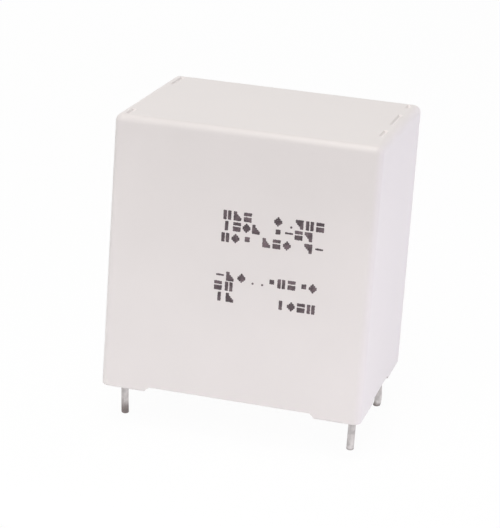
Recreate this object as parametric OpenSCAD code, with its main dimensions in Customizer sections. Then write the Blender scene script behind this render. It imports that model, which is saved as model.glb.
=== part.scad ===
// Box film capacitor for a printed circuit board.
// A flattened roll of metallised film stands in a moulded box that is open underneath.
// Each end of the roll is sprayed with metal, and two wire leads are welded to each end.
// Resin fills the box from below and stops short of its lower edge.
// Millimetres, +Z up. The board's surface is z = 0, where the corner feet of the box stand,
// and the origin is the middle of the lead grid. X runs from end to end of the roll.

/* [Box] */
// Length over the ends, at the open side
box_l = 42; // [30:0.5:60]
// Width over the long sides, at the open side
box_w = 32; // [27:0.5:40]
// Height from the feet to the top
box_h = 44; // [36:0.5:60]
// Thickness of the side walls at the open side
wall_t = 1.2; // [0.8:0.1:1.3]
// Thickness of the top wall
top_t = 1.4; // [1:0.1:3]
// Radius of the outer edges and corners
edge_r = 1.2; // [0.6:0.1:2]
// Radius of the inner upright corners
inner_r = 0.6; // [0.2:0.1:1.5]
// How far each side wall leans in from the open side to the top
draft = 0.15; // [0:0.05:0.3]
// Bevel along the lower outer edge
lip_bevel = 0.25; // [0.1:0.05:0.4]

/* [Feet] */
// Height of the corner feet below the lower edge of the walls
foot_h = 0.8; // [0.3:0.05:1.2]
// Length of each foot along a long side
foot_l = 7.2; // [4:0.2:12]
// Length of each foot along an end
foot_w = 9.6; // [4:0.2:11]
// Run of the slope between a foot and the wall's edge
foot_slope = 0.8; // [0.2:0.1:2]

/* [Slots in the top] */
// Width of the shallow slots
slot_w = 0.5; // [0.3:0.1:0.6]
// Depth of the slots below the top
slot_depth = 0.35; // [0.2:0.05:0.8]
// Distance from the end of the box to the middle of a slot
slot_inset = 1.95; // [1.6:0.05:3]

/* [Locating ribs] */
// Width of the ribs inside the box
rib_w = 1.2; // [0.8:0.1:2]
// Distance between the two ribs on a wall
rib_pitch = 22; // [10:1:30]
// Height of the lower ends of the wall ribs above the board
rib_start = 9; // [4:0.5:20]
// Gap between the ribs and the roll
rib_gap = 0.3; // [0.1:0.05:0.6]

/* [Leads] */
// Distance from each end of the box to the middle of the leads there
lead_inset = 2.25; // [1.9:0.05:6]
// Distance between the two leads of one end
row_pitch = 20.3; // [8:0.1:22]
// Diameter of the wire
lead_d = 1.2; // [0.8:0.1:1.6]
// Length of the leads below the feet
lead_out = 6.45; // [3:0.05:25]
// Height of the leads' upper ends above the board
lead_top = 24; // [14:0.5:30]
// Bevel on the tip of the wire
lead_bevel = 0.15; // [0.05:0.05:0.3]
// How much thinner and wider the wire is where it is pressed flat inside the box
lead_squash = 0.5; // [0.4:0.05:0.6]
// Height above the board where the wire is fully flat
flat_start = 2.4; // [1.8:0.1:4]
// Depth to which the flat of the wire is sunk in the sprayed metal
lead_sink = 0.1; // [0.05:0.05:0.3]

/* [Film roll] */
// Thickness of the sprayed metal
spray_t = 0.8; // [0.5:0.05:1.5]
// Thickness of the plain film wrap
wrap_t = 0.3; // [0.1:0.05:0.6]
// Resin between the roll and the long walls
side_cover = 1; // [0.8:0.1:2]
// Resin between the roll and the top wall
top_cover = 1; // [0.8:0.1:3]
// Resin below the roll
base_cover = 1.6; // [0.8:0.1:4]
// Length of the flat slit that the winding mandrel leaves
slit_l = 12; // [4:0.5:14]
// Width of that slit
slit_w = 0.3; // [0.2:0.05:0.6]

/* [Resin] */
// Depth of the resin's surface above the lower edge of the walls
resin_recess = 0.8; // [0.5:0.1:3]
// Radius of the collar that the resin draws round each wire
collar_r = 1.5; // [1.3:0.1:2.5]
// Gap between the board and the thin end of a collar
collar_gap = 0.1; // [0.05:0.05:0.5]
// Thickness of the resin at that end
collar_skin = 0.12; // [0.08:0.01:0.2]

/* [Hidden] */

// Each slot as [distance from the middle of the end, length], seen from above
left_slots = [[-12.8, 3.2], [11.2, 5.8]];
right_slots = [[-6.7, 3.8], [3.1, 7.2], [13, 2.4]];

arc_steps = 8;      // straight pieces in a quarter turn of a rounded edge
round_fn = 32;      // sides of the posts that carry the rounded edges
true_fn = 64;       // marks a true circle
past = 1;           // how far a cut or a join runs past a surface

// The space inside the box
cavity_l = box_l - 2 * wall_t;
cavity_w = box_w - 2 * wall_t;
ceiling_z = box_h - top_t;
wall_edge_z = foot_h;
resin_z = wall_edge_z + resin_recess;

// The roll, with its wrap and its sprayed ends
roll_w = cavity_w - 2 * side_cover;
roll_bottom_z = resin_z + base_cover;
roll_h = ceiling_z - top_cover - roll_bottom_z;
lead_x = box_l / 2 - lead_inset;
flat_t = lead_d - lead_squash;
flat_w = lead_d + lead_squash;
contact_x = lead_x - flat_t / 2 + lead_sink;
film_half_l = contact_x - spray_t;

// Ribs stop a gap short of the roll
wall_rib_t = side_cover - rib_gap;
top_rib_t = top_cover - rib_gap;

// One upright corner of the box: bevelled below, leaning in, rounded over at the top
module corner_post() {
  base_r = edge_r + draft;
  arc = [for (i = [0 : arc_steps])
    let (a = 90 * i / arc_steps)
    [edge_r * cos(a), box_h - edge_r + edge_r * sin(a)]];
  rotate_extrude($fn = round_fn)
    polygon(concat(
      [[0, 0], [base_r - lip_bevel, 0], [base_r, lip_bevel]],
      [for (i = [0 : arc_steps - 1]) arc[i]],
      [[0, box_h]]));
}

module box_outside() {
  post_x = box_l / 2 - edge_r - draft;
  post_y = box_w / 2 - edge_r - draft;
  hull()
    for (x = [-post_x, post_x], y = [-post_y, post_y])
      translate([x, y, 0]) corner_post();
}

// Upright block with rounded corners
module rounded_block(l, w, r, z_from, z_to) {
  translate([0, 0, z_from])
    linear_extrude(z_to - z_from)
      union() {
        square([l - 2 * r, w], center = true);
        square([l, w - 2 * r], center = true);
        for (x = [-1, 1], y = [-1, 1])
          translate([x * (l / 2 - r), y * (w / 2 - r)]) circle(r, $fn = true_fn);
      }
}

// Ribs on the long walls and across the ceiling keep the roll clear of the box
module locating_ribs() {
  for (x = [-rib_pitch / 2, rib_pitch / 2]) {
    for (side = [-1, 1])
      translate([x - rib_w / 2, side * (cavity_w / 2 - wall_rib_t / 2) - wall_rib_t / 2, rib_start])
        cube([rib_w, wall_rib_t, ceiling_z - rib_start]);
    translate([x - rib_w / 2, -cavity_w / 2, ceiling_z - top_rib_t])
      cube([rib_w, cavity_w, top_rib_t]);
  }
}

// The hollow that the resin fills, with the ribs standing in it
module cavity(z_from) {
  difference() {
    rounded_block(cavity_l, cavity_w, inner_r, z_from, ceiling_z);
    locating_ribs();
  }
}

// Sloped gap between two feet, as an upright outline that is wider at the board
module foot_gap(gap, through) {
  top_half = gap / 2 - foot_slope;
  past_half = gap / 2 + foot_slope * past / foot_h;
  rotate([90, 0, 0])
    linear_extrude(through, center = true)
      polygon([[-past_half, -past], [past_half, -past], [top_half, foot_h], [-top_half, foot_h]]);
}

module top_slots(end, slots) {
  for (slot = slots)
    translate([end * (box_l / 2 - slot_inset) - slot_w / 2, slot[0] - slot[1] / 2, box_h - slot_depth])
      cube([slot_w, slot[1], slot_depth + past]);
}

module box() {
  color("whitesmoke")
    difference() {
      box_outside();
      cavity(-past);
      foot_gap(box_l - 2 * foot_l, box_w + 2 * past);
      rotate([0, 0, 90]) foot_gap(box_w - 2 * foot_w, box_l + 2 * past);
      top_slots(-1, left_slots);
      top_slots(1, right_slots);
    }
}

// Outline of the pressed roll: half circles above and below two flat sides
module roll_outline(w, h) {
  union() {
    square([w, h - w], center = true);
    for (z = [-1, 1])
      translate([0, z * (h - w) / 2]) circle(w / 2, $fn = true_fn);
  }
}

// Roll outline drawn along X, between two places on the roll's axis
module roll_solid(w, h, x_from, x_to) {
  translate([x_from, 0, roll_bottom_z + roll_h / 2])
    rotate([90, 0, 90])
      linear_extrude(x_to - x_from) roll_outline(w, h);
}

module film_winding() {
  film_w = roll_w - 2 * wrap_t;
  film_h = roll_h - 2 * wrap_t;
  color("silver")
    difference() {
      roll_solid(film_w, film_h, -film_half_l, film_half_l);
      translate([-film_half_l - past, 0, roll_bottom_z + roll_h / 2])
        rotate([90, 0, 90])
          linear_extrude(2 * (film_half_l + past)) roll_outline(slit_w, slit_l);
    }
}

module outer_wrap() {
  color("khaki")
    difference() {
      roll_solid(roll_w, roll_h, -film_half_l, film_half_l);
      roll_solid(roll_w - 2 * wrap_t, roll_h - 2 * wrap_t, -film_half_l - past, film_half_l + past);
    }
}

// One tinned wire: round below the board's surface and bevelled at the tip,
// then pressed flat and wider, up to its end against the sprayed metal
module lead_wire(end, row) {
  r = lead_d / 2;
  translate([end * lead_x, row * row_pitch / 2, 0]) {
    rotate_extrude($fn = true_fn)
      polygon([[0, -lead_out], [r - lead_bevel, -lead_out], [r, -lead_out + lead_bevel], [r, 0], [0, 0]]);
    intersection() {
      rotate_extrude($fn = true_fn)
        polygon([[0, 0], [r, 0], [flat_w / 2, flat_start], [flat_w / 2, lead_top], [0, lead_top]]);
      rotate([90, 0, 0])
        linear_extrude(flat_w + 2 * past, center = true)
          polygon([[-r, 0], [r, 0], [flat_t / 2, flat_start], [flat_t / 2, lead_top],
                   [-flat_t / 2, lead_top], [-flat_t / 2, flat_start]]);
    }
  }
}

module lead(end, row) {
  color("lightgray") lead_wire(end, row);
}

module spray_contact(end) {
  color("gray")
    difference() {
      if (end < 0)
        roll_solid(roll_w, roll_h, -contact_x, -film_half_l);
      else
        roll_solid(roll_w, roll_h, film_half_l, contact_x);
      for (row = [-1, 1]) lead_wire(end, row);
    }
}

// Resin drawn down a wire: a quarter ellipse, level with the surface at its wide end,
// with a root that stands in the resin above
module resin_collar() {
  tip_r = lead_d / 2 + collar_skin;
  curve = [for (i = [0 : arc_steps])
    let (a = 90 * i / arc_steps)
    [collar_r - (collar_r - tip_r) * sin(a), resin_z - (resin_z - collar_gap) * (1 - cos(a))]];
  rotate_extrude($fn = true_fn)
    polygon(concat([[0, resin_z + past], [collar_r, resin_z + past]], curve, [[0, collar_gap]]));
}

module potting_resin() {
  color("ivory")
    difference() {
      union() {
        cavity(resin_z);
        intersection() {
          rounded_block(cavity_l, cavity_w, inner_r, collar_gap, resin_z + past);
          for (end = [-1, 1], row = [-1, 1])
            translate([end * lead_x, row * row_pitch / 2, 0]) resin_collar();
        }
      }
      roll_solid(roll_w, roll_h, -contact_x, contact_x);
      for (end = [-1, 1], row = [-1, 1]) lead_wire(end, row);
    }
}

box();
potting_resin();
film_winding();
outer_wrap();
spray_contact(-1);  // spray_contact_left
spray_contact(1);  // spray_contact_right
lead(-1, -1);  // lead_front_left
lead(1, -1);  // lead_front_right
lead(-1, 1);  // lead_back_left
lead(1, 1);  // lead_back_right
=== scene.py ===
import math
import random
from functools import partialmethod

import bmesh
import bpy
from bpy.props import FloatProperty, FloatVectorProperty, IntProperty, PointerProperty
from mathutils import Matrix, Vector
from mathutils.geometry import delaunay_2d_cdt


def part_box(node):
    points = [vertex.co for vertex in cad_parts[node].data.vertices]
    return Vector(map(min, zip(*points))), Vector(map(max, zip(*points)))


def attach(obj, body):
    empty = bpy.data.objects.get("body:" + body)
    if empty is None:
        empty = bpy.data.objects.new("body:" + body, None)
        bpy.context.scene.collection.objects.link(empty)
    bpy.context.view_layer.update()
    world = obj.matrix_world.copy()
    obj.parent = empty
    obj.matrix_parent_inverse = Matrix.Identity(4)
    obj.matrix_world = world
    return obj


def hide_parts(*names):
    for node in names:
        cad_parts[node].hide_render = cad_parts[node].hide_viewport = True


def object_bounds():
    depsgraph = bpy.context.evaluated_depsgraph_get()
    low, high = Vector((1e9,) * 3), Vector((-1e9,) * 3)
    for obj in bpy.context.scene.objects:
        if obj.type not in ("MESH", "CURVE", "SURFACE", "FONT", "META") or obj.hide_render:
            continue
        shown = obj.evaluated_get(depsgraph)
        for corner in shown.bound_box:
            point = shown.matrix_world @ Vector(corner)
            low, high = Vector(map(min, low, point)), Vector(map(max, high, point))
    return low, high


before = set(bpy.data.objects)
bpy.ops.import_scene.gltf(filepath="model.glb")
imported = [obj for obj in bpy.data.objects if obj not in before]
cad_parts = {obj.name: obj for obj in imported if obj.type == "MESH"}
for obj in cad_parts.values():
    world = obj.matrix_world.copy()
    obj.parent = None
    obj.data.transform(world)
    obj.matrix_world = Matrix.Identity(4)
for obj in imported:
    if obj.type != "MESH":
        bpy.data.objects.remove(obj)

bl_info = {
    "name": "Box Film Capacitor",
    "version": (1, 0, 0),
    "blender": (4, 5, 0),
    "location": "3D View > Sidebar > Capacitor",
    "description": "Makes a box film capacitor: moulded box, resin, tinned wires, print and film roll",
    "category": "Object",
}

MM = 0.001
# Edges shorter than this are left over from cutting
SLIVER = 0.001 * MM
# Points nearer than this are one point
SAME_POINT = 1e-8
# Edges sharper than this are kept crisp in the shading, in degrees
BOX_CREASE = 35
CREASE = 40
# Corners of a rectangle, in shares of its half lengths
CORNERS = ((-1, -1), (1, -1), (1, 1), (-1, 1))

# The fixed frame, read before anything is added
FRAME_LOW, FRAME_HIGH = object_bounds()
BOX_LOW, BOX_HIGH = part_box("box")
RESIN_LOW, RESIN_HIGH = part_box("potting_resin")
ROLL_LOW, ROLL_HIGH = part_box("outer_wrap")
SPRAY_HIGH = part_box("spray_contact_right")[1]
WIRE_NODES = ("lead_front_left", "lead_front_right", "lead_back_left", "lead_back_right")
WIRE_BOXES = {node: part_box(node) for node in WIRE_NODES}


def wire_axis(node):
    """Middle of a wire, seen from above."""
    low, high = WIRE_BOXES[node]
    return (low.x + high.x) / 2, (low.y + high.y) / 2


# ---------------- settings

def length(name, description, millimetres):
    """A length that the sidebar shows, given here in millimetres."""
    return FloatProperty(
        name=name, description=description, default=millimetres * MM, unit="LENGTH", precision=5)


def angle(name, description, degrees):
    """An angle that the sidebar shows, given here in degrees."""
    return FloatProperty(
        name=name, description=description, default=math.radians(degrees), unit="ROTATION")


def colour(name, description, rgb):
    """A colour that the sidebar shows."""
    return FloatVectorProperty(
        name=name, description=description, default=rgb, subtype="COLOR", size=3, min=0, max=1)


class BoxSettings(bpy.types.PropertyGroup):
    edge_radius: length("Edge Radius", "Radius of the outer edges and corners", 1.2)
    lean: length("Lean", "How far a side leans in from the open side to the top", 0.15)
    lip_round: length("Lip Round", "Rounding of the lower outer edge", 0.25)
    wall: length("Wall", "Thickness of the side walls", 1.2)
    top_wall: length("Top Wall", "Thickness of the top wall", 1.4)
    inner_radius: length("Inner Radius", "Radius of the inner upright corners", 0.6)
    foot_height: length("Foot Height", "Height of the corner feet", 0.8)
    foot_length: length("Foot Length", "Length of a foot along a long side", 7.2)
    foot_width: length("Foot Width", "Length of a foot along an end", 9.6)
    foot_slope: length("Foot Slope", "Run of the slope beside a foot", 0.8)
    slot_width: length("Slot Width", "Width of the shallow slots in the top, half way down", 0.5)
    slot_flare: length("Slot Flare", "How much wider a slot is at the top than half way down", 0.25)
    slot_depth: length("Slot Depth", "Depth of the slots below the top", 0.25)
    slot_inset: length("Slot Inset", "Distance from the end of the box to a slot", 1.95)
    rib_width: length("Rib Width", "Width of the locating ribs", 1.2)
    rib_pitch: length("Rib Pitch", "Distance between the two ribs on a wall", 22)
    rib_depth: length("Rib Depth", "How far a rib stands out of the wall", 0.7)
    rib_start: length("Rib Start", "Height of the lower ends of the ribs", 9)
    softening: length("Edge Softening", "Rounding of the remaining sharp edges", 0.1)
    plastic: colour("Plastic", "Colour of the moulded plastic", (0.77, 0.72, 0.722))


class ResinSettings(bpy.types.PropertyGroup):
    surface: length("Surface", "Height of the resin's surface above the board", 1.6)
    collar_radius: length("Collar Radius", "Radius of the collar round each wire", 1.5)
    collar_skin: length("Collar Skin", "Thickness of the resin at a collar's thin end", 0.12)
    wall_climb: length("Wall Climb", "How far the resin creeps along the walls", 0.3)
    wall_reach: length("Wall Reach", "Width over which that creep dies away", 0.45)
    ripple: length("Ripple", "Height of the slow ripples in the surface", 0.035)
    bubbles: IntProperty(name="Bubbles", description="Number of burst bubbles", default=9, min=0)
    seed: IntProperty(name="Seed", description="Seed for the bubbles", default=4)
    resin: colour("Resin", "Colour of the potting resin", (0.60, 0.57, 0.50))


class WireSettings(bpy.types.PropertyGroup):
    radius: length("Radius", "Radius of the wire", 0.6)
    tip_round: length("Tip Round", "Rounding of the cut tip", 0.15)
    flat_start: length("Flat Start", "Height where the wire is fully flat", 2.4)
    flat_thickness: length("Flat Thickness", "Thickness of the flat part", 0.7)
    flat_width: length("Flat Width", "Width of the flat part", 1.7)
    waver: length("Waver", "Small unevenness of the wire", 0.02)
    tin: colour("Tin", "Colour of the tinned wire", (0.635, 0.6, 0.6))
    tip: colour("Cut Tip", "Colour of the cut tip", (0.25, 0.215, 0.21))


class PrintSettings(bpy.types.PropertyGroup):
    dot_radius: length("Dot Radius", "Radius of one dot of ink", 0.168)
    dot_pitch: length("Dot Pitch", "Distance between the dots of a mark", 0.235)
    thickness: length("Ink Thickness", "Thickness of the ink", 0.012)
    stray: length("Stray", "How far a dot lands from its place", 0.012)
    seed: IntProperty(name="Seed", description="Seed for the stray dots", default=11)
    ink: colour("Ink", "Colour of the ink", (0.085, 0.062, 0.07))


class RollSettings(bpy.types.PropertyGroup):
    zinc: colour("Zinc", "Colour of the sprayed zinc", (0.33, 0.335, 0.34))
    film: colour("Film", "Colour of the metallised film", (0.55, 0.56, 0.58))
    wrap: colour("Wrap", "Colour of the plain wrap", (0.62, 0.58, 0.42))


class StageSettings(bpy.types.PropertyGroup):
    azimuth: angle("Azimuth", "Turn of the camera round the part", 13.812)
    elevation: angle("Elevation", "Angle of the camera above the board", 17.577)
    roll: angle("Roll", "Turn of the camera about its own axis", 4.004)
    lens: FloatProperty(
        name="Lens", description="Focal length on a 36 mm sensor, in millimetres", default=136.91)
    camera_place: FloatVectorProperty(
        name="Camera Place", description="Where the camera stands", subtype="XYZ", unit="LENGTH",
        size=3, default=(0.071365, -0.298334, 0.115512))
    floor_size: length("Floor Size", "Side of the floor", 4000)
    floor: colour("Floor", "Colour of the floor", (0.93, 0.93, 0.93))
    sky: FloatProperty(name="Sky", description="Strength of the light from all around", default=0.184)
    lamps: FloatProperty(name="Lamps", description="Strength of all the lamps together", default=1.0)


# ---------------- helpers

def add_object(name, mesh):
    """A new object at the origin, in the scene."""
    made = bpy.data.objects.new(name, mesh)
    bpy.context.scene.collection.objects.link(made)
    return made


def bake(obj):
    """Turns an object's modifiers into a plain mesh, and removes them."""
    bpy.context.view_layer.update()
    graph = bpy.context.evaluated_depsgraph_get()
    mesh = bpy.data.meshes.new_from_object(obj.evaluated_get(graph), depsgraph=graph)
    obj.modifiers.clear()
    old = obj.data
    obj.data = mesh
    bpy.data.meshes.remove(old)
    mesh.name = obj.name
    if not mesh.polygons:
        raise RuntimeError(obj.name + " came out empty")


def modify(obj, kind, **values):
    """Puts a modifier on an object and bakes it in."""
    step = obj.modifiers.new(kind.lower(), kind)
    for key, value in values.items():
        setattr(step, key, value)
    bake(obj)


def cut(target, cutter):
    """Takes a cutter out of a target; the cutter goes."""
    modify(target, "BOOLEAN", operation="DIFFERENCE", solver="EXACT", object=cutter)
    mesh = cutter.data
    bpy.data.objects.remove(cutter)
    bpy.data.meshes.remove(mesh)


def clean(obj):
    """Merges the slivers that cutting leaves."""
    form = bmesh.new()
    form.from_mesh(obj.data)
    bmesh.ops.remove_doubles(form, verts=form.verts, dist=SLIVER)
    bmesh.ops.dissolve_degenerate(form, edges=form.edges, dist=SLIVER)
    form.to_mesh(obj.data)
    form.free()


def mesh_from(name, points, faces):
    """A mesh with its doubles merged and its faces pointing outwards."""
    mesh = bpy.data.meshes.new(name)
    mesh.from_pydata(points, [], faces)
    form = bmesh.new()
    form.from_mesh(mesh)
    bmesh.ops.remove_doubles(form, verts=form.verts, dist=SAME_POINT)
    bmesh.ops.recalc_face_normals(form, faces=form.faces)
    form.to_mesh(mesh)
    form.free()
    return mesh


def solid(name, rings, twisted=False):
    """A closed solid from rings with as many points each; its sides are twisted if not plane."""
    count = len(rings[0])
    last = (len(rings) - 1) * count
    faces = [tuple(range(count)), tuple(range(last, last + count))]
    for a in range(0, last, count):
        for i in range(count):
            j = (i + 1) % count
            side = (a + i, a + j, a + count + j, a + count + i)
            # only triangles cut cleanly along a twisted side
            faces += [side[:3], (side[0], *side[2:])] if twisted else [side]
    return add_object(name, mesh_from(name, [p for ring in rings for p in ring], faces))


def block(name, low, high):
    """Cutter with square edges."""
    xs, ys, zs = zip(low, high)
    return solid(name, [[(xs[u > 0], ys[v > 0], z) for u, v in CORNERS] for z in zs])


def quarter(steps):
    """The angles of a quarter turn, in equal steps."""
    return [math.pi / 2 * i / steps for i in range(steps + 1)]


def circle(x, y, radius_x, radius_y, count, shift=0.0):
    """Points round a circle or an ellipse, turned by a share of a step."""
    angles = [2 * math.pi * (i + shift) / count for i in range(count)]
    return [(x + radius_x * math.cos(a), y + radius_y * math.sin(a)) for a in angles]


def rounded_ring(half_x, half_y, radius, z, steps=12):
    """Rounded rectangle at height z; half_x and half_y reach to the corners' centres."""
    ring = []
    for corner, (sx, sy) in enumerate(((1, 1), (-1, 1), (-1, -1), (1, -1))):
        for i in range(steps + 1):
            a = math.pi / 2 * (corner + i / steps)
            ring.append((sx * half_x + radius * math.cos(a), sy * half_y + radius * math.sin(a), z))
    return ring


def filled_ring(half_x, half_y, radius, steps, pitch):
    """Places along a rounded rectangle, with more of them where they are far apart."""
    ring = [(x, y) for x, y, _ in rounded_ring(half_x, half_y, radius, 0.0, steps)]
    places = []
    for (x0, y0), (x1, y1) in zip(ring, ring[1:] + ring[:1]):
        parts = max(1, int(math.hypot(x1 - x0, y1 - y0) / pitch))
        places += [(x0 + (x1 - x0) * k / parts, y0 + (y1 - y0) * k / parts) for k in range(parts)]
    return places


def cut_ribs(target, settings, ceiling, top):
    """Takes the ribs' room out of a solid: two on each long wall and two across the ceiling."""
    inner_y = BOX_HIGH.y - settings.wall
    across = settings.rib_width / 2
    for side in (-1, 1):
        x = side * settings.rib_pitch / 2
        for wall in (-1, 1):
            ys = sorted((wall * (inner_y - settings.rib_depth), wall * (inner_y + MM)))
            low = (x - across, ys[0], settings.rib_start)
            cut(target, block("rib", low, (x + across, ys[1], top)))
        low = (x - across, -BOX_HIGH.y, ceiling - settings.rib_depth)
        cut(target, block("rib", low, (x + across, BOX_HIGH.y, top)))


def smooth_by_angle(obj, degrees):
    """Smooth shading, with edges sharper than the angle kept crisp."""
    for face in obj.data.polygons:
        face.use_smooth = True
    obj.data.set_sharp_from_angle(angle=math.radians(degrees))


def give(obj, material):
    """One material all over."""
    obj.data.materials.clear()
    obj.data.materials.append(material)


# ---------------- node trees

def find(tree, kind):
    """The node of a kind that a new tree starts with."""
    return next(n for n in tree.nodes if n.type == kind)


class Tree:
    """Short calls for building a node tree."""

    def __init__(self, tree):
        self.tree = tree

    def socket(self, name, kind="Float", direction="INPUT"):
        self.tree.interface.new_socket(name=name, in_out=direction, socket_type="NodeSocket" + kind)

    def node(self, kind, inputs=None, **values):
        made = self.tree.nodes.new(kind)
        for key, value in values.items():
            setattr(made, key, value)
        for key, value in (inputs or {}).items():
            self.feed(made.inputs[key], value)
        return made

    def feed(self, socket, value):
        if isinstance(value, bpy.types.NodeSocket):
            self.tree.links.new(value, socket)
        elif isinstance(value, bpy.types.Node):
            self.tree.links.new(value.outputs[0], socket)
        else:
            socket.default_value = (*value, 1.0) if socket.type == "RGBA" else value

    def vector(self, x=0.0, y=0.0, z=0.0):
        return self.node("ShaderNodeCombineXYZ", {"X": x, "Y": y, "Z": z})

    def math(self, operation, *values, clamp=False):
        return self.node(
            "ShaderNodeMath", dict(enumerate(values)), operation=operation, use_clamp=clamp).outputs[0]

    plus = partialmethod(math, "ADD")
    minus = partialmethod(math, "SUBTRACT")
    times = partialmethod(math, "MULTIPLY")
    over = partialmethod(math, "DIVIDE")

    def spread(self, value, from_low, from_high, to_low, to_high, smooth=False):
        values = (value, from_low, from_high, to_low, to_high)
        return self.node("ShaderNodeMapRange", dict(enumerate(values)), clamp=True,
                         interpolation_type="SMOOTHSTEP" if smooth else "LINEAR").outputs[0]


def shader_group(name, numbers, outputs):
    """The shader node group of that name, and short calls to fill it if it was made just now."""
    known = bpy.data.node_groups.get(name)
    if known:
        return known, None
    t = Tree(bpy.data.node_groups.new(name, "ShaderNodeTree"))
    t.socket("Vector", "Vector")
    for number in numbers:
        t.socket(number)
    for output in outputs:
        t.socket(output, direction="OUTPUT")
    return t.tree, t


def surface_grain():
    """Group: fine grain and slow waves, for bump, gloss and colour."""
    group, t = shader_group(
        "Surface Grain", ("Grain Scale", "Wave Scale", "Offset"), ("Grain", "Waves", "Both"))
    if not t:
        return group
    given = t.node("NodeGroupInput").outputs
    fine, slow = [t.node("ShaderNodeTexNoise", {
        "Vector": given["Vector"], "W": given["Offset"], "Scale": given[scale],
        "Detail": detail, "Roughness": roughness}, noise_dimensions="4D").outputs[0]
        for scale, detail, roughness in (("Grain Scale", 3.0, 0.6), ("Wave Scale", 2.0, 0.5))]
    both = t.plus(t.times(fine, 0.25), slow)
    t.node("NodeGroupOutput", {"Grain": fine, "Waves": slow, "Both": both})
    return group


def dark_specks():
    """Group: a mask of small scattered specks, for dust and pits."""
    group, t = shader_group("Specks", ("Scale", "Size", "Share"), ("Specks",))
    if not t:
        return group
    given = t.node("NodeGroupInput").outputs
    cells = t.node("ShaderNodeTexVoronoi", {"Vector": given["Vector"], "Scale": given["Scale"]})
    spot = t.spread(cells.outputs["Distance"], 0.0, given["Size"], 1.0, 0.0, smooth=True)
    pick = t.node("ShaderNodeSeparateColor", {"Color": cells.outputs["Color"]})
    chosen = t.math("LESS_THAN", pick, given["Share"])
    t.node("NodeGroupOutput", {"Specks": t.times(spot, chosen)})
    return group


def tinted(rgb, factor):
    """A colour made lighter or darker."""
    return tuple(min(1.0, c * factor) for c in rgb)


class Finish(Tree):
    """A material with a Principled shader and Object coordinates."""

    def __init__(self, name):
        self.material = bpy.data.materials.new(name)
        self.material.use_nodes = True
        super().__init__(self.material.node_tree)
        self.shader = find(self.tree, "BSDF_PRINCIPLED")
        self.place = self.node("ShaderNodeTexCoord").outputs["Object"]

    def group(self, group, **inputs):
        made = self.node("ShaderNodeGroup", node_tree=group)
        self.feed(made.inputs["Vector"], self.place)
        for key, value in inputs.items():
            self.feed(made.inputs[key.replace("_", " ")], value)
        return made.outputs

    def grain(self, fine, waves, offset=0.0):
        return self.group(surface_grain(), Grain_Scale=fine, Wave_Scale=waves, Offset=offset)

    def specks(self, scale, size, share):
        return self.group(dark_specks(), Scale=scale, Size=size, Share=share)["Specks"]

    def noise(self, scale, detail, stretch):
        place = self.node("ShaderNodeMapping", {"Vector": self.place, "Scale": stretch})
        return self.node(
            "ShaderNodeTexNoise", {"Vector": place, "Scale": scale, "Detail": detail}).outputs[0]

    def mix(self, factor, first, second):
        return self.node(
            "ShaderNodeMix", {0: factor, 6: first, 7: second}, data_type="RGBA").outputs[2]

    def clouds(self, grain, rgb, dark, light, low=0.3, high=0.7, smooth=True):
        """A colour that drifts from a dark tint to a light one with the slow waves."""
        share = self.spread(grain["Waves"], low, high, 0.0, 1.0, smooth)
        return self.mix(share, tinted(rgb, dark), tinted(rgb, light))

    def roughness(self, grain, low, high):
        """A roughness that follows the grain."""
        return self.spread(grain["Both"], 0.2, 1.1, low, high)

    def bump(self, height, distance, strength, onto=None):
        made = self.node("ShaderNodeBump", {"Height": height, "Distance": distance, "Strength": strength})
        if onto is not None:
            self.feed(made.inputs["Normal"], onto)
        return made.outputs[0]

    def set(self, **inputs):
        for key, value in inputs.items():
            self.feed(self.shader.inputs[key.replace("_", " ")], value)
        return self.material


def plastic_finish(settings):
    """Satin moulded plastic: fine grain, faint flow waves, faint sink marks and dust."""
    f = Finish("Moulded Plastic")
    base = settings.plastic
    grain = f.grain(5200.0, 70.0)
    specks = f.specks(420.0, 0.07, 0.05)
    tone = f.clouds(grain, base, 0.985, 1.012, smooth=False)
    tone = f.mix(f.times(specks, 0.12), tone, tinted(base, 0.72))
    flow = f.noise(26.0, 1.0, (1.0, 1.0, 0.4))
    normal = f.bump(flow, 0.00022, 0.35)
    normal = f.bump(grain["Grain"], 0.000012, 0.5, normal)
    # rounded edges turned away from the eye shine less than a clean sheet would;
    # the export drops a linked specular level, so the plain one is set first
    full_shine = 0.42
    f.set(Specular_IOR_Level=full_shine)
    turned = f.node("ShaderNodeLayerWeight", {"Blend": 0.5, "Normal": normal}).outputs["Facing"]
    shine = f.spread(turned, 0.80, 0.93, full_shine, 0.0, smooth=True)
    return f.set(Base_Color=tone, Roughness=f.roughness(grain, 0.28, 0.40), Normal=normal, IOR=1.5,
                 Specular_IOR_Level=shine)


def resin_finish(settings):
    """Poured resin: glossy, a little cloudy, with pinholes."""
    f = Finish("Potting Resin")
    base = settings.resin
    grain = f.grain(1400.0, 160.0, 3.0)
    holes = f.specks(520.0, 0.16, 0.12)
    tone = f.clouds(grain, base, 0.92, 1.05)
    # the pinholes are painted darker: painted shade in the pits
    tone = f.mix(f.times(holes, 0.45), tone, tinted(base, 0.55))
    height = f.minus(f.times(grain["Both"], 0.6), holes)
    return f.set(Base_Color=tone, Roughness=f.roughness(grain, 0.16, 0.34),
                 Normal=f.bump(height, 0.00005, 0.5), IOR=1.52)


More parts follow.
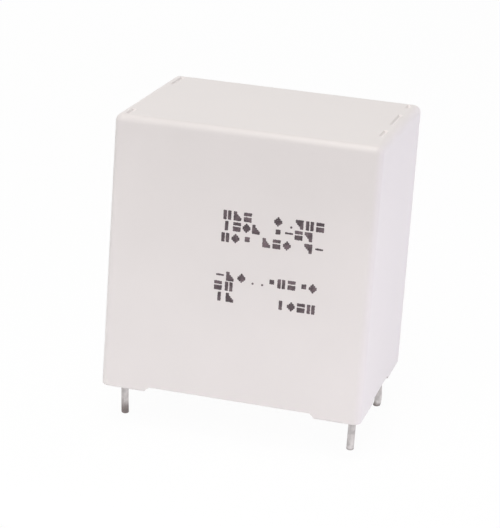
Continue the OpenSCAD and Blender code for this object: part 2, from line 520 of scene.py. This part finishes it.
def tin_finish(settings):
    """Tinned wire: drawn streaks, uneven tin, and a darker cut tip."""
    f = Finish("Tinned Wire")
    tin = settings.tin
    grain = f.grain(2600.0, 700.0, 7.0)
    streaks = f.noise(2400.0, 2.0, (1.0, 1.0, 0.06))
    tone = f.clouds(grain, tin, 0.72, 1.15, 0.35, 0.68)
    tone = f.mix(f.spread(streaks, 0.4, 0.7, 0.0, 0.35), tone, tinted(tin, 0.6))
    # the colour darkens towards the tip, reaching highest on the left wires, least on the front right one
    x, y, z = f.node("ShaderNodeSeparateXYZ", {"Vector": f.place}).outputs
    reach = f.spread(f.minus(x, y), -0.01, 0.014, 0.0034, 0.0009)
    rise = f.plus(f.minus(z, FRAME_LOW.z), f.times(grain["Waves"], 0.0006))
    tip_darkening = f.spread(f.over(rise, reach), 0.3, 1.0, 1.0, 0.0, smooth=True)
    tone = f.mix(tip_darkening, tone, settings.tip)
    gloss = f.plus(f.roughness(grain, 0.24, 0.46), f.times(tip_darkening, 0.15))
    metal = f.minus(1.0, f.times(tip_darkening, 0.25))
    height = f.plus(f.times(streaks, 0.5), grain["Both"])
    return f.set(Base_Color=tone, Roughness=gloss, Metallic=metal, Normal=f.bump(height, 0.00004, 0.6))


def ink_finish(settings):
    """Jet-printed ink: matt, thin in places."""
    f = Finish("Jet Ink")
    grain = f.grain(6000.0, 900.0, 12.0)
    tone = f.clouds(grain, settings.ink, 0.85, 1.9, 0.35)
    return f.set(Base_Color=tone, Roughness=f.roughness(grain, 0.55, 0.75),
                 Normal=f.bump(grain["Grain"], 0.000006, 0.4))


def zinc_finish(settings):
    """Sprayed zinc: a rough crust of small splats."""
    f = Finish("Sprayed Zinc")
    grain = f.grain(3200.0, 1100.0, 20.0)
    splats = f.specks(1500.0, 0.5, 0.6)
    tone = f.clouds(grain, settings.zinc, 0.75, 1.25, smooth=False)
    gloss = f.spread(grain["Grain"], 0.25, 0.75, 0.5, 0.75)
    height = f.plus(grain["Both"], splats)
    return f.set(Base_Color=tone, Roughness=gloss, Metallic=0.85, Normal=f.bump(height, 0.0001, 0.8))


def film_finish(settings):
    """Wound metallised film: fine turns round the roll's axis."""
    f = Finish("Metallised Film")
    film = settings.film
    middle = (ROLL_LOW + ROLL_HIGH) / 2
    # the turns are taller than they are wide
    squeeze = 0.62
    place = f.node("ShaderNodeMapping", {
        "Vector": f.place, "Location": (0.0, -middle.y, -middle.z * squeeze),
        "Scale": (0.0, 1.0, squeeze)})
    turns = f.node(
        "ShaderNodeTexWave", {"Vector": place, "Scale": 1500.0, "Distortion": 0.6, "Detail": 1.0},
        wave_type="RINGS", rings_direction="X").outputs[1]
    grain = f.grain(2500.0, 300.0, 31.0)
    tone = f.mix(turns, tinted(film, 0.7), tinted(film, 1.1))
    return f.set(Base_Color=tone, Roughness=f.roughness(grain, 0.25, 0.4), Metallic=0.8,
                 Normal=f.bump(turns, 0.00003, 0.6))


def wrap_finish(settings):
    """Plain film wrap: clear yellowish plastic with faint creases."""
    f = Finish("Film Wrap")
    grain = f.grain(1800.0, 120.0, 44.0)
    creases = f.noise(420.0, 3.0, (0.12, 1.0, 1.0))
    tone = f.clouds(grain, settings.wrap, 0.9, 1.08, smooth=False)
    return f.set(Base_Color=tone, Roughness=f.roughness(grain, 0.16, 0.3),
                 Normal=f.bump(creases, 0.00008, 0.5))


# ---------------- geometry node trees

class Shaper(Tree):
    """A geometry tree, with number inputs and a Material input."""

    def __init__(self, name, floats, integers=()):
        super().__init__(bpy.data.node_groups.new(name, "GeometryNodeTree"))
        self.socket("Geometry", "Geometry", "OUTPUT")
        self.socket("Geometry", "Geometry")
        for number in (*floats, *integers):
            self.socket(number, "Int" if number in integers else "Float")
        self.socket("Material", "Material")
        self.given = self.node("NodeGroupInput").outputs

    def end(self, geometry):
        """Closes the tree: instances made real, then the material."""
        whole = self.node("GeometryNodeRealizeInstances", {"Geometry": geometry})
        dressed = self.node("GeometryNodeSetMaterial", {
            "Geometry": whole, "Material": self.given["Material"]})
        self.node("NodeGroupOutput", {"Geometry": dressed})
        return self.tree


def run_tree(obj, tree, values):
    """Puts a tree on an object with its inputs set, and turns the result into a plain mesh."""
    step = obj.modifiers.new(tree.name, "NODES")
    step.node_group = tree
    sockets = {s.name: s.identifier for s in tree.interface.items_tree
               if s.item_type == "SOCKET" and s.in_out == "INPUT"}
    for name, value in values.items():
        step[sockets[name]] = value
    bake(obj)


def tinned_wire_tree():
    """Round wire with a rounded tip below, leaning a little, pressed flat higher up."""
    t = Shaper("Tinned Wire", (
        "Place X", "Place Y", "Bottom", "Top", "Radius", "Tip Round", "Flat Start", "Flat Thickness",
        "Flat Width", "Lean X", "Lean Y", "Hook", "Waver", "Seed"))
    given = t.given
    line = t.node("GeometryNodeCurvePrimitiveLine", {
        "Start": t.vector(z=given["Bottom"]), "End": t.vector(z=given["Top"])})
    fine = t.node("GeometryNodeResampleCurve", {"Curve": line, "Count": 260})
    ring = t.node("GeometryNodeCurvePrimitiveCircle", {"Resolution": 32, "Radius": given["Radius"]})
    tube = t.node("GeometryNodeCurveToMesh", {"Curve": fine, "Profile Curve": ring, "Fill Caps": True})
    position = t.node("GeometryNodeInputPosition")
    x, y, z = t.node("ShaderNodeSeparateXYZ", {"Vector": position}).outputs
    # a quarter circle in the last stretch before the tip
    rise = t.minus(z, given["Bottom"])
    short = t.minus(1.0, t.over(rise, given["Tip Round"]), clamp=True)
    drop = t.minus(1.0, t.math("SQRT", t.minus(1.0, t.times(short, short))))
    shrink = t.minus(1.0, t.over(t.times(drop, given["Tip Round"]), given["Radius"]))
    # the lean grows with the depth below the board; the hook bends only the last stretch
    depth = t.over(z, given["Bottom"], clamp=True)
    bow = t.math("POWER", depth, 1.6)
    hook = t.times(t.math("POWER", depth, 7.0), given["Hook"])
    # flat above the board, and a little uneven where it is round
    flat = t.over(z, given["Flat Start"], clamp=True)
    noise = t.node("ShaderNodeTexNoise", {
        "Vector": position, "W": given["Seed"], "Scale": 380.0, "Detail": 1.0}, noise_dimensions="4D")
    uneven = t.times(t.times(t.minus(noise, 0.5), given["Waver"]), t.minus(1.0, flat))
    swell = t.plus(1.0, t.over(uneven, given["Radius"]))
    double = t.times(given["Radius"], 2.0)
    moved = []
    for along, place, size, lean in (
            (x, t.plus(given["Place X"], hook), "Flat Thickness", "Lean X"),
            (y, given["Place Y"], "Flat Width", "Lean Y")):
        pressed = t.minus(t.over(given[size], double), 1.0)
        scale = t.times(shrink, t.plus(1.0, t.times(flat, pressed)))
        moved.append(t.plus(t.times(t.times(along, scale), swell),
                            t.plus(place, t.times(bow, given[lean]))))
    return t.end(t.node("GeometryNodeSetPosition", {"Geometry": tube, "Position": t.vector(*moved, z)}))


def ink_dots_tree():
    """A flat round dot of ink on every point, some larger, some a little off their place."""
    t = Shaper("Ink Dots", ("Dot Radius", "Thickness", "Stray"), ("Seed",))
    given = t.given
    smallest, largest = 0.86, 1.12
    dot = t.node("GeometryNodeMeshCylinder", {
        "Vertices": 10, "Radius": given["Dot Radius"], "Depth": given["Thickness"]}, fill_type="NGON")
    upright = t.node("GeometryNodeTransform", {"Geometry": dot, "Rotation": (math.pi / 2, 0.0, 0.0)})
    size = t.node("FunctionNodeRandomValue", {"Seed": given["Seed"], 2: smallest, 3: largest},
                  data_type="FLOAT")
    reach = t.vector(x=given["Stray"], z=given["Stray"])
    back = t.node("ShaderNodeVectorMath", {0: reach, 1: (-1.0, 0.0, -1.0)}, operation="MULTIPLY")
    drift = t.node("FunctionNodeRandomValue", {"Seed": t.plus(given["Seed"], 1.0), 0: back, 1: reach},
                   data_type="FLOAT_VECTOR")
    nudged = t.node("GeometryNodeSetPosition", {"Geometry": given["Geometry"], "Offset": drift})
    points = t.node("GeometryNodeMeshToPoints", {"Mesh": nudged})
    return t.end(t.node("GeometryNodeInstanceOnPoints", {
        "Points": points, "Instance": upright, "Scale": size.outputs[1]}))


# ---------------- operators

class CAPACITOR_OT_box(bpy.types.Operator):
    """Make the moulded box with its feet, slots, hollow and ribs"""
    bl_idname = "capacitor.box"
    bl_label = "Moulded Box"

    # Each slot as (distance from the middle of the end, length), in millimetres
    LEFT_SLOTS = ((-12.8, 3.2), (11.2, 5.8))
    RIGHT_SLOTS = ((-6.7, 3.8), (3.1, 7.2), (13.0, 2.4))

    def outside(self, s):
        """Outer skin: rounded lip, leaning sides, rounded top."""
        base = s.edge_radius + s.lean
        profile = [(base - s.lip_round * (1 - math.sin(a)), s.lip_round * (1 - math.cos(a)))
                   for a in quarter(6)]
        profile += [(s.edge_radius * math.cos(a), BOX_HIGH.z - s.edge_radius * (1 - math.sin(a)))
                    for a in quarter(12)]
        half_x, half_y = BOX_HIGH.x - base, BOX_HIGH.y - base
        return solid("moulded_box", [rounded_ring(half_x, half_y, max(r, 0.0), z) for r, z in profile])

    def hollow(self, s):
        """Cutter for the space inside, with the ribs left standing in it."""
        ceiling = BOX_HIGH.z - s.top_wall
        half_x = BOX_HIGH.x - s.wall - s.inner_radius
        half_y = BOX_HIGH.y - s.wall - s.inner_radius
        made = solid("hollow", [rounded_ring(half_x, half_y, s.inner_radius, z) for z in (-MM, ceiling)])
        cut_ribs(made, s, ceiling, BOX_HIGH.z)
        return made

    def foot_gap(self, s, gap, through, along_x):
        """Cutter for the low gap between two feet, with sloped ends."""
        run = MM
        low = gap / 2 + s.foot_slope * run / s.foot_height
        high = gap / 2 - s.foot_slope
        outline = [(-low, -run), (low, -run), (high, s.foot_height), (-high, s.foot_height)]
        rings = [[(u, end, z) if along_x else (end, u, z) for u, z in outline]
                 for end in (-through, through)]
        return solid("gap", rings)

    def slot(self, s, x, y, size):
        """Cutter for one slot, with sloped sides and ends."""
        rings = []
        for share in (-1, 3):
            half_x = (s.slot_width + share * s.slot_flare) / 2
            half_y = (size + share * s.slot_flare) / 2
            z = BOX_HIGH.z + (share - 1) / 2 * s.slot_depth
            rings.append([(x + u * half_x, y + v * half_y, z) for u, v in CORNERS])
        return solid("slot", rings)

    def execute(self, context):
        s = context.scene.capacitor_box
        box = self.outside(s)
        cut(box, self.hollow(s))
        cut(box, self.foot_gap(s, 2 * BOX_HIGH.x - 2 * s.foot_length, 2 * BOX_HIGH.y, True))
        cut(box, self.foot_gap(s, 2 * BOX_HIGH.y - 2 * s.foot_width, 2 * BOX_HIGH.x, False))
        for end, slots in ((-1, self.LEFT_SLOTS), (1, self.RIGHT_SLOTS)):
            x = end * (BOX_HIGH.x - s.slot_inset)
            for middle, size in slots:
                cut(box, self.slot(s, x, middle * MM, size * MM))
        modify(box, "BEVEL", limit_method="ANGLE", angle_limit=math.radians(BOX_CREASE),
               width=s.softening, segments=3, use_clamp_overlap=True)
        clean(box)
        smooth_by_angle(box, BOX_CREASE)
        modify(box, "WEIGHTED_NORMAL", keep_sharp=True)
        give(box, plastic_finish(s))
        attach(box, "root")
        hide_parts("box")
        return {"FINISHED"}


class ResinSurface:
    """The resin's lower surface: its bubbles, its heights and the places that carry them."""

    # A bubble's size in millimetres, and its distance from the walls and the wires
    BUBBLE_SIZES, BUBBLE_CLEAR = (0.25, 0.6), 3 * MM
    # A burst bubble's depth, and its lip's height and end, in shares of its size
    PIT_DEPTH, LIP_HEIGHT, LIP_END = 0.55, 0.08, 1.5
    # Ripples in radians a metre, and the width over which they grow beside a wall
    RIPPLE_X, RIPPLE_Y, RIPPLE_SKEW, RIPPLE_START = 310, 270, 120, 2 * MM
    # How much the lesser creep adds where a collar meets a wall
    CREEP_SHARE = 0.3
    # The rim, and lines inside it, with insets in millimetres
    RIM_PITCH, LINE_PITCH, LEAST_CORNER = 0.35 * MM, 0.4 * MM, 0.05 * MM
    INSETS = (0.08, 0.18, 0.32, 0.5, 0.75, 1.1)
    # Rings beside a collar in millimetres, their room, and their distance from a wall
    WIRE_RINGS, WIRE_ROOM, WALL_CLEAR = (0.66, 0.4, 1.7, 1.95), 0.5 * MM, 0.04 * MM
    # Rings round a bubble and their room, in shares of its size
    BUBBLE_RINGS = (0.25, 0.5, 0.7, 0.85, 0.95, 1.0, 1.12, 1.25, 1.4, 1.55)
    BUBBLE_ROOM = 1.6
    # The grid between, and its distance from the walls and the rings
    GRID_PITCH, GRID_WALL, GRID_CLEAR = 0.55 * MM, 1.3 * MM, 0.2 * MM
    # Places nearer than this are one place
    SAME_PLACE = 1e-7

    def __init__(self, s, box, wires):
        self.s = s
        self.corner = box.inner_radius
        self.wire_radius = wires.radius
        self.half_x, self.half_y = BOX_HIGH.x - box.wall, BOX_HIGH.y - box.wall
        self.axes = [wire_axis(node) for node in WIRE_NODES]
        self.bubbles = self.draw_bubbles()
        self.taken = [(*axis, s.collar_radius + self.WIRE_ROOM) for axis in self.axes]
        self.taken += [(x, y, size * self.BUBBLE_ROOM) for x, y, size in self.bubbles]

    def draw_bubbles(self):
        """Places and sizes of the burst bubbles, clear of the walls and the wires."""
        draw = random.Random(self.s.seed)
        room_x, room_y = self.half_x - self.BUBBLE_CLEAR, self.half_y - self.BUBBLE_CLEAR
        bubbles = []
        while len(bubbles) < self.s.bubbles:
            size = draw.uniform(*self.BUBBLE_SIZES) * MM
            x = draw.uniform(-room_x, room_x)
            y = draw.uniform(-room_y, room_y)
            if all(math.hypot(x - wx, y - wy) > self.BUBBLE_CLEAR for wx, wy in self.axes):
                bubbles.append((x, y, size))
        return bubbles

    def height(self, x, y):
        """Height of the surface at a place."""
        s = self.s
        inside = min(self.half_x - abs(x), self.half_y - abs(y))
        wall = s.wall_climb * math.exp(-max(inside, 0.0) / s.wall_reach)
        collar = 0.0
        radius = self.wire_radius + s.collar_skin
        for wx, wy in self.axes:
            share = (s.collar_radius - math.hypot(x - wx, y - wy)) / (s.collar_radius - radius)
            share = min(max(share, 0.0), 1.0)
            collar = max(collar, (s.surface - RESIN_LOW.z) * (1 - math.sqrt(1 - share * share)))
        ripple = s.ripple * math.sin(x * self.RIPPLE_X + 1.3)
        ripple *= math.cos(y * self.RIPPLE_Y + x * self.RIPPLE_SKEW + 0.4)
        ripple *= min(1.0, inside / self.RIPPLE_START)
        dent = 0.0
        for bx, by, size in self.bubbles:
            near = math.hypot(x - bx, y - by) / size
            if near < 1.0:
                dent = max(dent, size * self.PIT_DEPTH * (1 - near * near))
            elif near < self.LIP_END:
                dent = min(dent, -size * self.LIP_HEIGHT * math.sin((near - 1.0) * 2 * math.pi))
        both = self.CREEP_SHARE * min(wall, collar) * (collar > 0)
        return s.surface - max(wall, collar) - both + ripple + dent

    def inside(self, places, margin):
        """The places well inside the walls."""
        return [(x, y) for x, y in places
                if self.half_x - abs(x) > margin and self.half_y - abs(y) > margin]

    def free(self, places, margin=0.0):
        """The places outside the room of the rings round wires and bubbles."""
        return [(x, y) for x, y in places
                if all(math.hypot(x - cx, y - cy) > reach + margin for cx, cy, reach in self.taken)]

    def places(self, rim):
        """The rim, lines beside the walls, rings round wires and bubbles, and a grid between."""
        s = self.s
        places = list(rim)
        for inset in self.INSETS:
            r = max(self.corner - inset * MM, self.LEAST_CORNER)
            half_x, half_y = self.half_x - inset * MM - r, self.half_y - inset * MM - r
            places += self.free(filled_ring(half_x, half_y, r, 4, self.LINE_PITCH))
        for wx, wy in self.axes:
            rings = []
            for k, a in enumerate(quarter(12)):
                r = s.collar_radius - (s.collar_radius - self.wire_radius - s.collar_skin) * math.sin(a)
                rings += circle(wx, wy, r, r, 48, 0.5 * (k % 2))
            for r in self.WIRE_RINGS:
                rings += circle(wx, wy, r * MM, r * MM, 40)
            places += self.inside(rings, self.WALL_CLEAR) + [(wx, wy)]
        for x, y, size in self.bubbles:
            places.append((x, y))
            for share in self.BUBBLE_RINGS:
                places += circle(x, y, share * size, share * size, 20)
        pitch = self.GRID_PITCH
        across, along = int(self.half_x / pitch), int(self.half_y / pitch)
        grid = [((i + 0.5 * (j % 2)) * pitch, j * pitch)
                for i in range(-across, across + 1) for j in range(-along, along + 1)]
        return places + self.free(self.inside(grid, self.GRID_WALL), self.GRID_CLEAR)

    def closed(self, name):
        """The surface closed by upright sides and a plain top."""
        corner = self.corner
        rim = filled_ring(self.half_x - corner, self.half_y - corner, corner, 8, self.RIM_PITCH)
        count = len(rim)
        edges = [(i, (i + 1) % count) for i in range(count)]
        flat, _, faces, origin, _, _ = delaunay_2d_cdt(
            [Vector(p) for p in self.places(rim)], edges, [], 1, self.SAME_PLACE)
        low = [next(k for k, made in enumerate(origin) if i in made) for i in range(count)]
        high = range(len(flat), len(flat) + count)
        points = [(p.x, p.y, self.height(p.x, p.y)) for p in flat]
        points += [(flat[k].x, flat[k].y, RESIN_HIGH.z) for k in low]
        skin = [tuple(f) for f in faces]
        skin += [(low[i], low[j], high[j], high[i]) for i, j in edges]
        return add_object(name, mesh_from(name, points, skin + [tuple(high)]))


class CAPACITOR_OT_resin(bpy.types.Operator):
    """Make the potting resin with its creep along the walls and its collars round the wires"""
    bl_idname = "capacitor.resin"
    bl_label = "Potting Resin"

    # Sides of a wire's cutter, and of each round half of the roll's
    ROUND = 32

    def roll_cutter(self):
        """Outside of the roll with its sprayed ends."""
        half_w = (ROLL_HIGH.y - ROLL_LOW.y) / 2
        outline = []
        for centre, start in ((ROLL_HIGH.z - half_w, 0.0), (ROLL_LOW.z + half_w, math.pi)):
            for i in range(self.ROUND + 1):
                a = start + math.pi * i / self.ROUND
                outline.append((half_w * math.cos(a), centre + half_w * math.sin(a)))
        return solid("roll", [[(x, y, z) for y, z in outline] for x in (-SPRAY_HIGH.x, SPRAY_HIGH.x)])

    def wire_cutter(self, node, wires):
        """Room for one wire: round at the board, flat higher up."""
        round_part = (wires.radius, wires.radius)
        flat_part = (wires.flat_thickness / 2, wires.flat_width / 2)
        levels = ((-0.5 * MM, round_part), (0.0, round_part),
                  (wires.flat_start, flat_part), (WIRE_BOXES[node][1].z, flat_part))
        rings = [[(x, y, z) for x, y in circle(*wire_axis(node), *radii, self.ROUND)]
                 for z, radii in levels]
        return solid("wire_room", rings, twisted=True)

    def execute(self, context):
        s = context.scene.capacitor_resin
        box = context.scene.capacitor_box
        wires = context.scene.capacitor_wires
        resin = ResinSurface(s, box, wires).closed("potting")
        # the ribs of the box, the roll and the wires take their room
        cut_ribs(resin, box, RESIN_HIGH.z, RESIN_HIGH.z + MM)
        cut(resin, self.roll_cutter())
        for node in WIRE_NODES:
            cut(resin, self.wire_cutter(node, wires))
        clean(resin)
        smooth_by_angle(resin, CREASE)
        give(resin, resin_finish(s))
        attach(resin, "root")
        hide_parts("potting_resin")
        return {"FINISHED"}


class CAPACITOR_OT_wires(bpy.types.Operator):
    """Make the four tinned wires"""
    bl_idname = "capacitor.wires"
    bl_label = "Tinned Wires"

    # How far each tip leans off its place in x and y, and hooks back in x, in millimetres
    LEANS = {
        "lead_front_left": (0.3, 0.0, 0.0),
        "lead_front_right": (-0.03, 0.05, 0.0),
        "lead_back_left": (-0.1, 0.05, 0.0),
        "lead_back_right": (0.5, 0.0, -0.45),
    }
    # Settings that are inputs of the tree under the same names
    SHAPE = ("radius", "tip_round", "flat_start", "flat_thickness", "flat_width", "waver")
    # Seeds of the wires' unevenness
    SEED, SEED_STEP = 2.0, 5.0

    def execute(self, context):
        s = context.scene.capacitor_wires
        tree = tinned_wire_tree()
        finish = tin_finish(s)
        for count, node in enumerate(WIRE_NODES):
            low, high = WIRE_BOXES[node]
            wx, wy = wire_axis(node)
            lean_x, lean_y, hook = self.LEANS[node]
            name = node.replace("lead", "wire")
            wire = add_object(name, bpy.data.meshes.new(name))
            run_tree(wire, tree, {
                "Place X": wx, "Place Y": wy, "Bottom": low.z, "Top": high.z, "Lean X": lean_x * MM,
                "Lean Y": lean_y * MM, "Hook": hook * MM, "Seed": self.SEED + count * self.SEED_STEP,
                "Material": finish, **{field.replace("_", " ").title(): getattr(s, field)
                                       for field in self.SHAPE}})
            smooth_by_angle(wire, CREASE)
            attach(wire, "root")
            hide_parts(node)
        return {"FINISHED"}


class CAPACITOR_OT_print(bpy.types.Operator):
    """Print rows of plain jet-printed marks on the front"""
    bl_idname = "capacitor.marks"
    bl_label = "Printed Marks"

    # Rows as (lower z, pitch of the marks, groups); a group is (left x, marks), in millimetres.
    # b: two bands, t: two bars, i: one bar, w and v: wedges, o: diamond, s: small square,
    # d: dash, p: point
    ROWS = (
        (29.85, 1.6, ((-2.75, "twb"), (5.2, "o"), (7.5, "p"), (8.5, "vtb"))),
        (28.15, 1.5, ((-2.65, "ibow"), (5.3, "s"), (7.0, "d"), (8.5, "bv"))),
        (26.3, 1.6, ((-2.85, "to"), (0.6, "s"), (3.6, "wbo"), (10.1, "v"), (11.8, "d"))),
        (20.15, 1.6, ((-3.3, "d"), (-1.7, "w"), (0.1, "o"), (2.15, "p"), (3.65, "p"),
                      (4.9, "s"), (6.4, "tb"), (9.9, "s"), (11.3, "o"))),
        (18.55, 1.7, ((-3.5, "bt"),)),
        (16.8, 1.55, ((-3.1, "iw"), (6.6, "iobt"))),
    )
    # The dots of each mark, by column and by row from below
    MARKS = {
        "b": lambda i, j: j != 3,
        "t": lambda i, j: i != 2,
        "i": lambda i, j: i in (1, 2),
        "w": lambda i, j: i + 0.8 * j < 5.1,
        "v": lambda i, j: i + 0.8 * j > 2.9,
        "o": lambda i, j: abs(i - 2) / 2 + abs(j - 2.5) / 2.5 < 1.45,
        "s": lambda i, j: 0 < i < 4 and 1 < j < 5,
        "d": lambda i, j: j == 3,
        "p": lambda i, j: (i, j) == (1, 0),
    }
    # Every place that a mark's dots can take
    DOTS = [(i, j) for i in range(5) for j in range(6)]
    # How far the middle of the ink stands out of the face, in shares of its thickness
    INK_OUT = 0.3

    def face_y(self, z):
        """Place of the front face at a height."""
        box = bpy.context.scene.capacitor_box
        low, high = box.lip_round, BOX_HIGH.z - box.edge_radius
        return BOX_LOW.y + box.lean * (z - low) / (high - low)

    def execute(self, context):
        s = context.scene.capacitor_print
        points = []
        for bottom, pitch, groups in self.ROWS:
            for left, marks in groups:
                for place, mark in enumerate(marks):
                    for i, j in self.DOTS:
                        if self.MARKS[mark](i, j):
                            x = (left + place * pitch) * MM + s.dot_radius + i * s.dot_pitch
                            z = bottom * MM + s.dot_radius + j * s.dot_pitch
                            points.append((x, self.face_y(z) - s.thickness * self.INK_OUT, z))
        mesh = bpy.data.meshes.new("printed_marks")
        mesh.from_pydata(points, [], [])
        marks = add_object("printed_marks", mesh)
        run_tree(marks, ink_dots_tree(), {
            "Dot Radius": s.dot_radius, "Thickness": s.thickness, "Stray": s.stray,
            "Seed": s.seed, "Material": ink_finish(s)})
        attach(marks, "root")
        return {"FINISHED"}


class CAPACITOR_OT_roll(bpy.types.Operator):
    """Finish the film roll, its wrap and its sprayed ends"""
    bl_idname = "capacitor.roll"
    bl_label = "Film Roll"

    def execute(self, context):
        s = context.scene.capacitor_roll
        zinc = zinc_finish(s)
        finishes = {
            "film_winding": film_finish(s), "outer_wrap": wrap_finish(s),
            "spray_contact_left": zinc, "spray_contact_right": zinc}
        for node, finish in finishes.items():
            give(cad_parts[node], finish)
        return {"FINISHED"}


class CAPACITOR_OT_stage(bpy.types.Operator):
    """Set up the floor, the lamps and the camera"""
    bl_idname = "capacitor.stage"
    bl_label = "Stage"

    # What most lamps are aimed at
    MIDDLE = (0.0, 0.0, 0.02)
    # Each lamp: name, watts, place, aim, size, tint and whether gloss shows it
    LAMPS = (
        ("key_lamp", 0.907, (0.0, -0.5, 0.5), MIDDLE, (0.3, 0.3), (0.99, 0.995, 1.0), True),
        ("left_lamp", 0.883, (-0.42, -0.45, 0.5), MIDDLE, (0.3, 0.3), (0.98, 1.0, 0.998), True),
        ("edge_lamp", 1.611, (0.0, -0.22, 0.66), MIDDLE, (0.3, 0.25), (1.0, 0.991, 0.926), True),
        ("top_lamp", 0.956, (0.0, 0.1, 0.7), MIDDLE, (0.4, 0.4), (1.0, 0.988, 0.94), True),
        ("side_lamp", 0.194, (0.22, 0.03, 0.015), MIDDLE, (0.12, 0.05), (0.864, 0.857, 1.0), False),
        ("back_lamp", 0.76, (-0.3, 0.45, 0.03), MIDDLE, (0.3, 0.1), (1.0, 0.99, 0.97), False),
        ("low_left_lamp", 0.0071, (-0.075, -0.075, 0.0), (-0.02, -0.01, -0.02),
         (0.08, 0.008), (0.965, 0.986, 1.0), False),
        ("low_lamp", 0.0023, (-0.01, -0.055, -0.002), (-0.01, 0.0, -0.03),
         (0.09, 0.006), (0.911, 0.949, 1.0), False),
        ("low_right_lamp", 0.0036, (0.06, -0.06, -0.001), (0.02, -0.016, -0.01),
         (0.05, 0.006), (0.944, 0.948, 1.0), False),
        ("corner_lamp", 0.00033, (0.033, -0.028, 0.02), (0.021, -0.016, 0.02),
         (0.004, 0.045), (0.96, 0.95, 1.0), False),
    )
    # How white the floor and the sky look to the eye
    FLOOR_SHARE, SKY_SHARE = 0.965, 1.0

    def white_when_seen(self, t, plain, share):
        """A shader that the camera, gloss and glass see as white by a share, and light as plain."""
        path = t.node("ShaderNodeLightPath").outputs
        seen = t.math("MAXIMUM", path["Is Camera Ray"],
                      t.math("MAXIMUM", path["Is Glossy Ray"], path["Is Transmission Ray"]))
        white = t.node("ShaderNodeEmission", {"Color": (1.0, 1.0, 1.0), "Strength": 1.0})
        return t.node("ShaderNodeMixShader", {0: t.times(seen, share), 1: plain, 2: white})

    def make_floor(self, s):
        """A flat floor; from below it is clear to the camera, so that the underside shows."""
        half = s.floor_size / 2
        mesh = bpy.data.meshes.new("floor")
        mesh.from_pydata([(u * half, v * half, FRAME_LOW.z) for u, v in CORNERS], [], [(0, 1, 2, 3)])
        floor = add_object("floor", mesh)
        f = Finish("Floor")
        f.set(Base_Color=s.floor, Roughness=0.9, Specular_IOR_Level=0.0)
        below = f.times(f.node("ShaderNodeNewGeometry").outputs["Backfacing"],
                        f.node("ShaderNodeLightPath").outputs["Is Camera Ray"])
        shown = f.node("ShaderNodeMixShader", {
            0: below, 1: self.white_when_seen(f, f.shader, self.FLOOR_SHARE),
            2: f.node("ShaderNodeBsdfTransparent")})
        f.feed(find(f.tree, "OUTPUT_MATERIAL").inputs["Surface"], shown)
        give(floor, f.material)

    def make_sky(self, s, scene):
        """Even light from all around."""
        scene.world = bpy.data.worlds.new("Studio")
        scene.world.use_nodes = True
        t = Tree(scene.world.node_tree)
        plain = find(t.tree, "BACKGROUND")
        t.feed(plain.inputs["Color"], (1.0, 1.0, 1.0))
        t.feed(plain.inputs["Strength"], s.sky)
        shown = self.white_when_seen(t, plain, self.SKY_SHARE)
        t.feed(find(t.tree, "OUTPUT_WORLD").inputs["Surface"], shown)

    def make_lamp(self, name, watts, place, aim, size, tint, glossy):
        """A rectangular lamp that the camera doesn't see."""
        light = bpy.data.lights.new(name, "AREA")
        light.shape = "RECTANGLE"
        light.size, light.size_y = size
        light.energy = watts
        light.color = tint
        made = add_object(name, light)
        made.location = place
        made.rotation_euler = (Vector(aim) - Vector(place)).to_track_quat("-Z", "Y").to_euler()
        made.visible_camera = False
        made.visible_glossy = glossy

    def make_camera(self, s, scene):
        camera = add_object("camera", bpy.data.cameras.new("camera"))
        camera.data.lens = s.lens
        camera.data.sensor_width = 36.0
        camera.data.clip_start = 0.01
        camera.data.clip_end = 20.0
        turn = (Matrix.Rotation(s.azimuth, 4, "Z") @ Matrix.Rotation(math.pi / 2 - s.elevation, 4, "X")
                @ Matrix.Rotation(s.roll, 4, "Z"))
        camera.matrix_world = Matrix.Translation(s.camera_place) @ turn
        scene.camera = camera

    def execute(self, context):
        s = context.scene.capacitor_stage
        self.make_floor(s)
        self.make_sky(s, context.scene)
        for name, watts, *rest in self.LAMPS:
            self.make_lamp(name, watts * s.lamps, *rest)
        self.make_camera(s, context.scene)
        context.scene.view_settings.view_transform = "Standard"
        return {"FINISHED"}


class CAPACITOR_PT_panel(bpy.types.Panel):
    """Lists the settings and the steps"""
    bl_idname = "CAPACITOR_PT_panel"
    bl_label = "Box Film Capacitor"
    bl_space_type = "VIEW_3D"
    bl_region_type = "UI"
    bl_category = "Capacitor"

    def draw(self, context):
        for step, name, _ in STEPS:
            area = self.layout.box()
            area.operator(step.bl_idname)
            settings = getattr(context.scene, name)
            for field in settings.__annotations__:
                area.prop(settings, field)


# Each step with the scene property that holds its settings and their class, in running order
STEPS = (
    (CAPACITOR_OT_stage, "capacitor_stage", StageSettings),
    (CAPACITOR_OT_box, "capacitor_box", BoxSettings),
    (CAPACITOR_OT_resin, "capacitor_resin", ResinSettings),
    (CAPACITOR_OT_wires, "capacitor_wires", WireSettings),
    (CAPACITOR_OT_print, "capacitor_print", PrintSettings),
    (CAPACITOR_OT_roll, "capacitor_roll", RollSettings),
)


def register():
    for step, name, settings in STEPS:
        bpy.utils.register_class(settings)
        setattr(bpy.types.Scene, name, PointerProperty(type=settings))
        bpy.utils.register_class(step)
    bpy.utils.register_class(CAPACITOR_PT_panel)


def unregister():
    bpy.utils.unregister_class(CAPACITOR_PT_panel)
    for step, name, settings in reversed(STEPS):
        bpy.utils.unregister_class(step)
        delattr(bpy.types.Scene, name)
        bpy.utils.unregister_class(settings)


def main():
    """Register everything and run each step."""
    register()
    for step, _, _ in STEPS:
        space, name = step.bl_idname.split(".")
        getattr(getattr(bpy.ops, space), name)()


if __name__ == "__main__":
    main()
